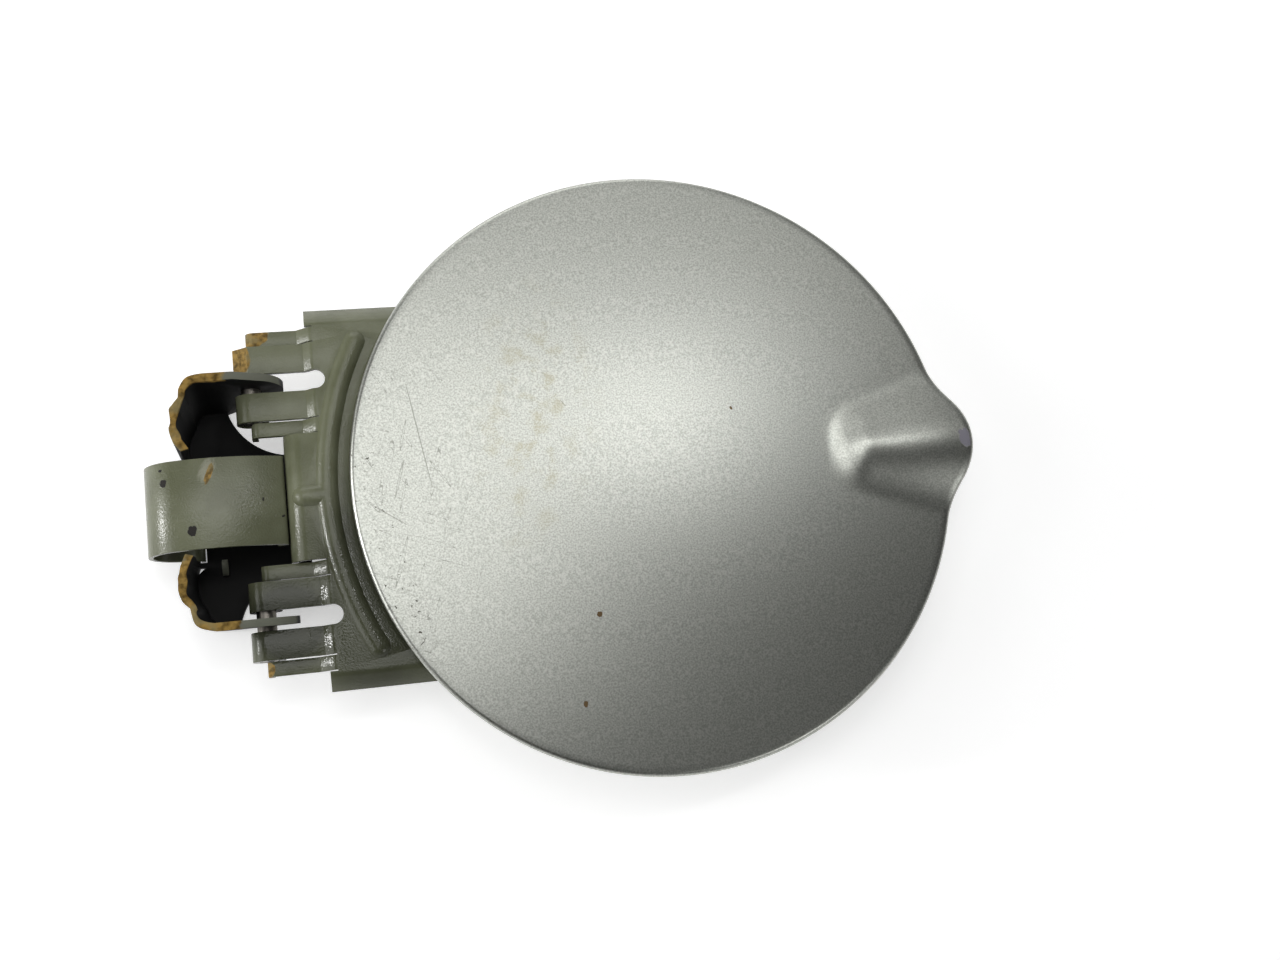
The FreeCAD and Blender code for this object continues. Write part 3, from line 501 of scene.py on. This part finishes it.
# %% The cross-section of the sheet
SHEET_MM = 0.8
EDGE_DEPTH_MM = 2.5
HEM_MM = 7.0
HEM_SHARES = (0.8, 0.6, 0.4)
TOP_RINGS = 40
EDGE_STEPS = 8
fold_out = EDGE_DEPTH_MM / 2
fold_in = fold_out - SHEET_MM
stations = [(ring / TOP_RINGS, HEM_MM, 0.0) for ring in range(1, TOP_RINGS + 1)]
stations += [(1.0, HEM_MM * share, 0.0) for share in HEM_SHARES]
for step in range(EDGE_STEPS + 1):
    turn = math.pi * step / EDGE_STEPS
    stations.append((1.0, fold_out * (1 - math.sin(turn)), fold_out * (1 - math.cos(turn))))
stations += [(1.0, HEM_MM, EDGE_DEPTH_MM), (1.0, HEM_MM, EDGE_DEPTH_MM - SHEET_MM)]
for step in range(EDGE_STEPS + 1):
    turn = math.pi * (1 - step / EDGE_STEPS)
    stations.append((1.0, fold_out - fold_in * math.sin(turn), fold_out - fold_in * math.cos(turn)))
stations += [(ring / TOP_RINGS, HEM_MM, SHEET_MM) for ring in range(TOP_RINGS, 0, -2)]
print("stations from middle to middle:", len(stations))

# %% The flat blank
SPOKES = 400
blank = bmesh.new()
rings = []
for share, inset, depth in stations:
    ring = []
    for spoke in range(SPOKES):
        bearing = math.tau * spoke / SPOKES - math.pi
        radius = share * (rim_radius(bearing) - inset)
        x = DISC_X_MM + radius * math.cos(bearing)
        ring.append(blank.verts.new((x * MM, radius * math.sin(bearing) * MM, -depth * MM)))
    rings.append(ring)
for inner, outer in zip(rings, rings[1:]):
    for spoke in range(SPOKES):
        after = (spoke + 1) % SPOKES
        blank.faces.new((inner[spoke], outer[spoke], outer[after], inner[after]))
poles = [blank.verts.new((DISC_X_MM * MM, 0, -depth * MM)) for depth in (0.0, SHEET_MM)]
for pole, ring in zip(poles, (rings[0], rings[-1])):
    for spoke in range(SPOKES):
        blank.faces.new((pole, ring[spoke], ring[(spoke + 1) % SPOKES]))
bmesh.ops.recalc_face_normals(blank, faces=blank.faces)
blank_mesh = bpy.data.meshes.new("door_skin_blank")
blank.to_mesh(blank_mesh)
blank.free()
print("blank points:", len(blank_mesh.vertices))

# %% [markdown]
# The die is a tree of a few nodes. Two smooth steps raise the lip, a quick one at its round start and
# a slow one along its length. Across the lip a squared cosine lets the sides run out softly, and the
# width between them grows towards the rim. The crown is a parabola each way. Every size is a named
# input of the tree, so the same die could press another door.

# %% The press: sizes as named inputs
RIM_Z_MM = 29.95
CROWN_ALONG_MM = 4000.0
CROWN_ACROSS_MM = 1134.0
LIP_LENGTH_MM = 41.0
LIP_STEP_MM = 11.0
LIP_RISE_MM = 5.16
LIP_STEP_SHARE = 0.6
LIP_HALF_START_MM = 10.6
LIP_HALF_END_MM = 25.0
lip_end = DISC_RADIUS_MM + LIP_REACH_MM
lip_start = lip_end - LIP_LENGTH_MM
PRESS_SIZES_MM = {
    "Disc X": DISC_X_MM, "Crown Z": RIM_Z_MM + DISC_RADIUS_MM ** 2 / (2 * CROWN_ALONG_MM),
    "Crown Radius Along": CROWN_ALONG_MM, "Crown Radius Across": CROWN_ACROSS_MM,
    "Lip Start": lip_start, "Step End": lip_start + LIP_STEP_MM, "Lip End": lip_end,
    "Step Rise": LIP_RISE_MM * LIP_STEP_SHARE, "Slope Rise": LIP_RISE_MM * (1 - LIP_STEP_SHARE),
    "Half Width Start": LIP_HALF_START_MM, "Half Width End": LIP_HALF_END_MM}
press = bpy.data.node_groups.new("press_door_skin", "GeometryNodeTree")
press.interface.new_socket("Geometry", in_out="INPUT", socket_type="NodeSocketGeometry")
press.interface.new_socket("Paint", in_out="INPUT", socket_type="NodeSocketMaterial")
identifiers = {}
for name in PRESS_SIZES_MM:
    size = press.interface.new_socket(name, in_out="INPUT", socket_type="NodeSocketFloat")
    identifiers[name] = size.identifier
press.interface.new_socket("Geometry", in_out="OUTPUT", socket_type="NodeSocketGeometry")
given = add(press, "NodeGroupInput", {}).outputs
print("press sizes:", {name: round(size, 2) for name, size in PRESS_SIZES_MM.items()})

# %% The press: the lip
xyz = add(press, "ShaderNodeSeparateXYZ", {0: add(press, "GeometryNodeInputPosition", {})}).outputs
ahead = add(press, "ShaderNodeMath", {0: xyz["X"], 1: given["Disc X"]}, operation="SUBTRACT")
aside = add(press, "ShaderNodeMath", {0: xyz["Y"]}, operation="ABSOLUTE")
step = add(press, "ShaderNodeMapRange", {
    "Value": ahead, "From Min": given["Lip Start"], "From Max": given["Step End"],
    "To Max": given["Step Rise"]}, interpolation_type="SMOOTHERSTEP")
slope = add(press, "ShaderNodeMapRange", {
    "Value": ahead, "From Min": given["Lip Start"], "From Max": given["Lip End"],
    "To Max": given["Slope Rise"]}, interpolation_type="SMOOTHERSTEP")
half = add(press, "ShaderNodeMapRange", {
    "Value": ahead, "From Min": given["Lip Start"], "From Max": given["Lip End"],
    "To Min": given["Half Width Start"], "To Max": given["Half Width End"]})
swing = add(press, "ShaderNodeMapRange", {"Value": aside, "From Max": half, "To Max": math.pi / 2})
ridge = add(press, "ShaderNodeMath", {
    0: add(press, "ShaderNodeMath", {0: swing}, operation="COSINE"), 1: 2.0}, operation="POWER")
rise = add(press, "ShaderNodeMath", {0: step, 1: slope}, operation="ADD")
height = add(press, "ShaderNodeMath", {
    0: rise, 1: ridge, 2: given["Crown Z"]}, operation="MULTIPLY_ADD")
print("lip nodes:", len(press.nodes))

# %% The press: the crown and the paint
for way, radius in ((ahead, given["Crown Radius Along"]), (aside, given["Crown Radius Across"])):
    square = add(press, "ShaderNodeMath", {0: way, 1: way}, operation="MULTIPLY")
    double = add(press, "ShaderNodeMath", {0: radius, 1: 2.0}, operation="MULTIPLY")
    sag = add(press, "ShaderNodeMath", {0: square, 1: double}, operation="DIVIDE")
    height = add(press, "ShaderNodeMath", {0: height, 1: sag}, operation="SUBTRACT")
lift = add(press, "ShaderNodeCombineXYZ", {"Z": height})
pressed = add(press, "GeometryNodeSetPosition", {"Geometry": given["Geometry"], "Offset": lift})
realized = add(press, "GeometryNodeRealizeInstances", {"Geometry": pressed})
coated = add(press, "GeometryNodeSetMaterial", {"Geometry": realized, "Material": given["Paint"]})
add(press, "NodeGroupOutput", {"Geometry": coated})
print("press nodes:", len(press.nodes))

# %% [markdown]
# The press is a modifier on the blank. Its result is kept as a plain mesh, so the finished skin needs no
# modifier, and faces that meet at a small angle are shaded as one smooth sheet.


# %% Press the skin and keep the plain mesh
def finished(worker, name):
    bpy.context.view_layer.update()
    graph = bpy.context.evaluated_depsgraph_get()
    mesh = bpy.data.meshes.new_from_object(worker.evaluated_get(graph))
    mesh.name = name
    bpy.data.objects.remove(worker)
    piece = bpy.data.objects.new(name, mesh)
    bpy.context.collection.objects.link(piece)
    return piece


def smooth_under(piece, angle_deg):
    mesh = piece.data
    mesh.shade_smooth()
    mesh.set_sharp_from_angle(angle=math.radians(angle_deg))


SKIN_SMOOTH_DEG = 50
worker = bpy.data.objects.new("door_skin_worker", blank_mesh)
bpy.context.collection.objects.link(worker)
die = worker.modifiers.new("press", "NODES")
die.node_group = press
for name, size in PRESS_SIZES_MM.items():
    die[identifiers[name]] = size * MM
die[press.interface.items_tree["Paint"].identifier] = silver
skin = finished(worker, "pressed_door_skin")
smooth_under(skin, SKIN_SMOOTH_DEG)
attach(skin, "door")
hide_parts("door_skin")
print("skin faces:", len(skin.data.polygons))

# %% [markdown]
# ## Easing the edges of the stampings
#
# CAD edges are perfectly sharp, and a perfectly sharp edge has nothing to catch the light. Shears and
# dies leave a radius of a few tenths of a millimetre, and thick paint rounds it further. So each
# stamping is copied, its loose triangles are merged into whole faces, and a Bevel modifier rounds what
# is sharper than 30 degrees.

# %% Eased copies of the stampings
MERGE_MM = 0.002
FLAT_WITHIN_DEG = 0.4
SHARP_FROM_DEG = 30
EASED_SMOOTH_DEG = 35
BEVEL_SEGMENTS = 2
ARM_EDGE_MM = 0.3
SHEET_EDGE_MM = 0.25


def eased(node, name, radius_mm, body, material):
    work = bmesh.new()
    work.from_mesh(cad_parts[node].data)
    bmesh.ops.remove_doubles(work, verts=work.verts, dist=MERGE_MM * MM)
    flat = math.radians(FLAT_WITHIN_DEG)
    bmesh.ops.dissolve_limit(work, angle_limit=flat, verts=work.verts, edges=work.edges)
    mesh = bpy.data.meshes.new(name)
    work.to_mesh(mesh)
    work.free()
    mesh.materials.clear()
    mesh.materials.append(material)
    worker = bpy.data.objects.new(name + "_worker", mesh)
    bpy.context.collection.objects.link(worker)
    bevel = worker.modifiers.new("ease", "BEVEL")
    bevel.width = radius_mm * MM
    bevel.segments = BEVEL_SEGMENTS
    bevel.limit_method = "ANGLE"
    bevel.angle_limit = math.radians(SHARP_FROM_DEG)
    piece = finished(worker, name)
    smooth_under(piece, EASED_SMOOTH_DEG)
    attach(piece, body)
    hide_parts(node)
    print(name, "faces:", len(piece.data.polygons))
    return piece


eased("hinge_arm", "eased_hinge_arm", ARM_EDGE_MM, "door", arm_olive)
eased("leaf_spring", "eased_leaf_spring", SHEET_EDGE_MM, "spring", olive)
base = eased("hinge_base", "eased_hinge_base", SHEET_EDGE_MM, "hinge_base", base_black)

# %% [markdown]
# The sheet of the base didn't tear along a clean line: it was bent to and fro until it broke, so its
# rim waves in plan as well. Only points high up on the wall are pushed aside, by a smooth noise that
# grows towards the rim, so the foot of the wall and the pin holes stay where they were. The noise has a
# fixed seed, because without one it differs from run to run.

# %% The rim bent by the tear
BENT_FROM_MM = 22.0
BENT_BY_MM = 0.9
BEND_LENGTH_MM = 3.4
BEND_SEED = 236
noise.seed_set(BEND_SEED)
rim_z = max(vertex.co.z for vertex in base.data.vertices) / MM
for vertex in base.data.vertices:
    share = (vertex.co.z / MM - BENT_FROM_MM) / (rim_z - BENT_FROM_MM)
    if share > 0 and vertex.co.x < RUST_ENDS_X_MM * MM:
        push = noise.noise_vector(vertex.co / (BEND_LENGTH_MM * MM))
        vertex.co.x += push.x * BENT_BY_MM * MM * share
        vertex.co.y += push.y * BENT_BY_MM * MM * share
print("rim at z:", round(rim_z, 2), "mm")

# %% [markdown]
# ## Pieces that keep their CAD mesh
#
# The pins, the bump stops, the striker and the inner panel already have their real shape, so they only
# take a finish.

# %% Finishes for the CAD nodes
for node, material in (
        ("upper_hinge_pin", plain["drawn_steel"]), ("lower_hinge_pin", plain["drawn_steel"]),
        ("upper_buffer", plain["moulded_rubber"]), ("lower_buffer", plain["moulded_rubber"]),
        ("latch_striker", plain["zinc_plated_steel"]), ("inner_panel", silver)):
    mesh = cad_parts[node].data
    mesh.materials.clear()
    mesh.materials.append(material)
    print(node, "has", material.name)

# %% [markdown]
# ## Floor, lamps and camera
#
# The part lies on a white table. The floor adds a little light of its own for camera rays, and for rays
# that a shiny piece mirrors or lets through, which makes it white in the picture and leaves the soft
# shadow.

# %% White table
TABLE_HALF = 3.0
TABLE_GAP_MM = 0.05
TABLE_GLOW = 0.45
low = cad_box[0][2] - TABLE_GAP_MM * MM
corners = [(x * TABLE_HALF, y * TABLE_HALF, low) for x, y in ((-1, -1), (1, -1), (1, 1), (-1, 1))]
table_mesh = bpy.data.meshes.new("table")
table_mesh.from_pydata(corners, [], [(0, 1, 2, 3)])
table = bpy.data.objects.new("table", table_mesh)
bpy.context.collection.objects.link(table)
table_white, tree = new_material("white_table")
rays = add(tree, "ShaderNodeLightPath", {}).outputs
seen = rays["Is Camera Ray"]
for other in ("Is Glossy Ray", "Is Transmission Ray"):
    seen = add(tree, "ShaderNodeMath", {0: seen, 1: rays[other]}, operation="MAXIMUM")
paint = add(tree, "ShaderNodeBsdfPrincipled", {
    "Base Color": linear("#F4F4F4"), "Roughness": 0.9, "Emission Color": linear("#FFFFFF"),
    "Emission Strength": add(tree, "ShaderNodeMath", {0: seen, 1: TABLE_GLOW}, operation="MULTIPLY")})
add(tree, "ShaderNodeOutputMaterial", {"Surface": paint})
table_mesh.materials.append(table_white)
print("table at z:", round(low / MM, 2), "mm")

# %% [markdown]
# The door is a dull mirror, so what it shows are the lamps above it. A softbox with a small bulb hangs
# over the hinge side, a narrow strong lamp draws the bright band towards the lip, and a wide dim one
# fills the upper part. One lamp further out lights the roll of the spring, and a card lower down the
# round start of the lip. All of these face straight down, so each row says only where the lamp hangs,
# its size in millimetres and its power in watts.

# %% Lamps that the door mirrors
OVERHEAD_Z_MM = 680
OVERHEAD_LAMPS = (
    ("softbox", (-24, 103), (358, 372), 0.85),
    ("bulb", (-10, 130), (60, 60), 0.15),
    ("spring_lamp", (-230, 105), (60, 120), 0.16),
    ("band_lamp", (262, 170), (80, 34), 0.27),
    ("upper_softbox", (193, 447), (647, 555), 0.86),
    ("lower_card", (-100, -180), (220, 150), 0.13))


def soft_lamp(name, at_mm, towards_mm, size_mm, watts):
    lamp = bpy.data.lights.new(name, "AREA")
    lamp.shape = "RECTANGLE"
    lamp.size = size_mm[0] * MM
    lamp.size_y = size_mm[1] * MM
    lamp.energy = watts
    holder = bpy.data.objects.new(name, lamp)
    holder.location = Vector(at_mm) * MM
    aim = (Vector(towards_mm) - Vector(at_mm)).to_track_quat("-Z", "Y")
    holder.rotation_euler = aim.to_euler()
    bpy.context.collection.objects.link(holder)


for name, (x, y), size_mm, watts in OVERHEAD_LAMPS:
    soft_lamp(name, (x, y, OVERHEAD_Z_MM), (x, y, 0), size_mm, watts)
print("overhead lamps:", len(bpy.data.lights))

# %% [markdown]
# The light that the olive paint needs comes from two low fills, which the door doesn't mirror towards
# the camera. A card at the lower right lights the flank of the lip, and a small lamp far to the left
# gives the crisp glints on the bends. Each row says where the lamp stands, what it looks at, its size
# and its power.

# %% Low fills and glints
MIDDLE_OF_ARM = (30, 0, 20)
LOW_LAMPS = (
    ("lip_card", (560, -560, 600), (170, 0, 30), (300, 250), 0.75),
    ("left_fill", (-900, -60, 450), MIDDLE_OF_ARM, (900, 800), 4.5),
    ("upper_fill", (0, 950, 420), MIDDLE_OF_ARM, (800, 600), 2.5),
    ("glint", (-960, 45, 340), (12, -32, 21), (60, 200), 2.8))
for row in LOW_LAMPS:
    soft_lamp(*row)
print("lamps:", [lamp.name for lamp in bpy.data.lights])

# %% [markdown]
# Round about stands a pale cove, bright at the horizon and dim overhead, so that the door stays silver
# when it is seen from the side. The camera itself sees plain white.

# %% A pale cove
HORIZON_GLOW = 0.6
OVERHEAD_GLOW = 0.02
COVE_FROM = 0.15
COVE_TO = 0.6
world = bpy.data.worlds.new("studio_cove")
world.use_nodes = True
tree = world.node_tree
tree.nodes.clear()
towards = add(tree, "ShaderNodeTexCoord", {}).outputs["Generated"]
upward = add(tree, "ShaderNodeSeparateXYZ", {0: towards}).outputs["Z"]
cove = add(tree, "ShaderNodeMapRange", {
    "Value": upward, "From Min": COVE_FROM, "From Max": COVE_TO,
    "To Min": HORIZON_GLOW, "To Max": OVERHEAD_GLOW})
seen = add(tree, "ShaderNodeLightPath", {}).outputs["Is Camera Ray"]
glow = add(tree, "ShaderNodeMapRange", {"Value": seen, "To Min": cove, "To Max": 1.0})
back = add(tree, "ShaderNodeBackground", {"Color": linear("#FFFFFF"), "Strength": glow})
add(tree, "ShaderNodeOutputWorld", {"Surface": back})
bpy.context.scene.world = world
bpy.context.scene.view_settings.view_transform = "Standard"
print("cove glows from", HORIZON_GLOW, "to", OVERHEAD_GLOW)

# %% [markdown]
# The camera is placed from the disc: the photo shows the rim as an ellipse, which gives the two tilts
# and the place of the disc in front of the lens, and the line from hinge to lip gives the roll.

# %% Camera at the photo's angle
DISC_SEEN_MM = (6.118, 4.439, -376.323)
TILT_X_DEG = -11.263
TILT_Y_DEG = 10.974
ROLL_DEG = 6.75
SENSOR_MM = 36.0
LENS_MM = 39.375
CLIP_START = 0.01
turn = Matrix.Rotation(math.radians(TILT_X_DEG), 3, "X")
turn = turn @ Matrix.Rotation(math.radians(TILT_Y_DEG), 3, "Y")
turn = turn @ Matrix.Rotation(math.radians(ROLL_DEG), 3, "Z")
camera_at = Vector((DISC_X_MM, 0, RIM_Z_MM)) - turn.transposed() @ Vector(DISC_SEEN_MM)
lens = bpy.data.cameras.new("camera")
lens.sensor_width = SENSOR_MM
lens.lens = LENS_MM
lens.clip_start = CLIP_START
camera = bpy.data.objects.new("camera", lens)
camera.matrix_world = Matrix.Translation(camera_at * MM) @ turn.transposed().to_4x4()
bpy.context.collection.objects.link(camera)
bpy.context.scene.camera = camera
print("camera at mm:", [round(c, 1) for c in camera_at])
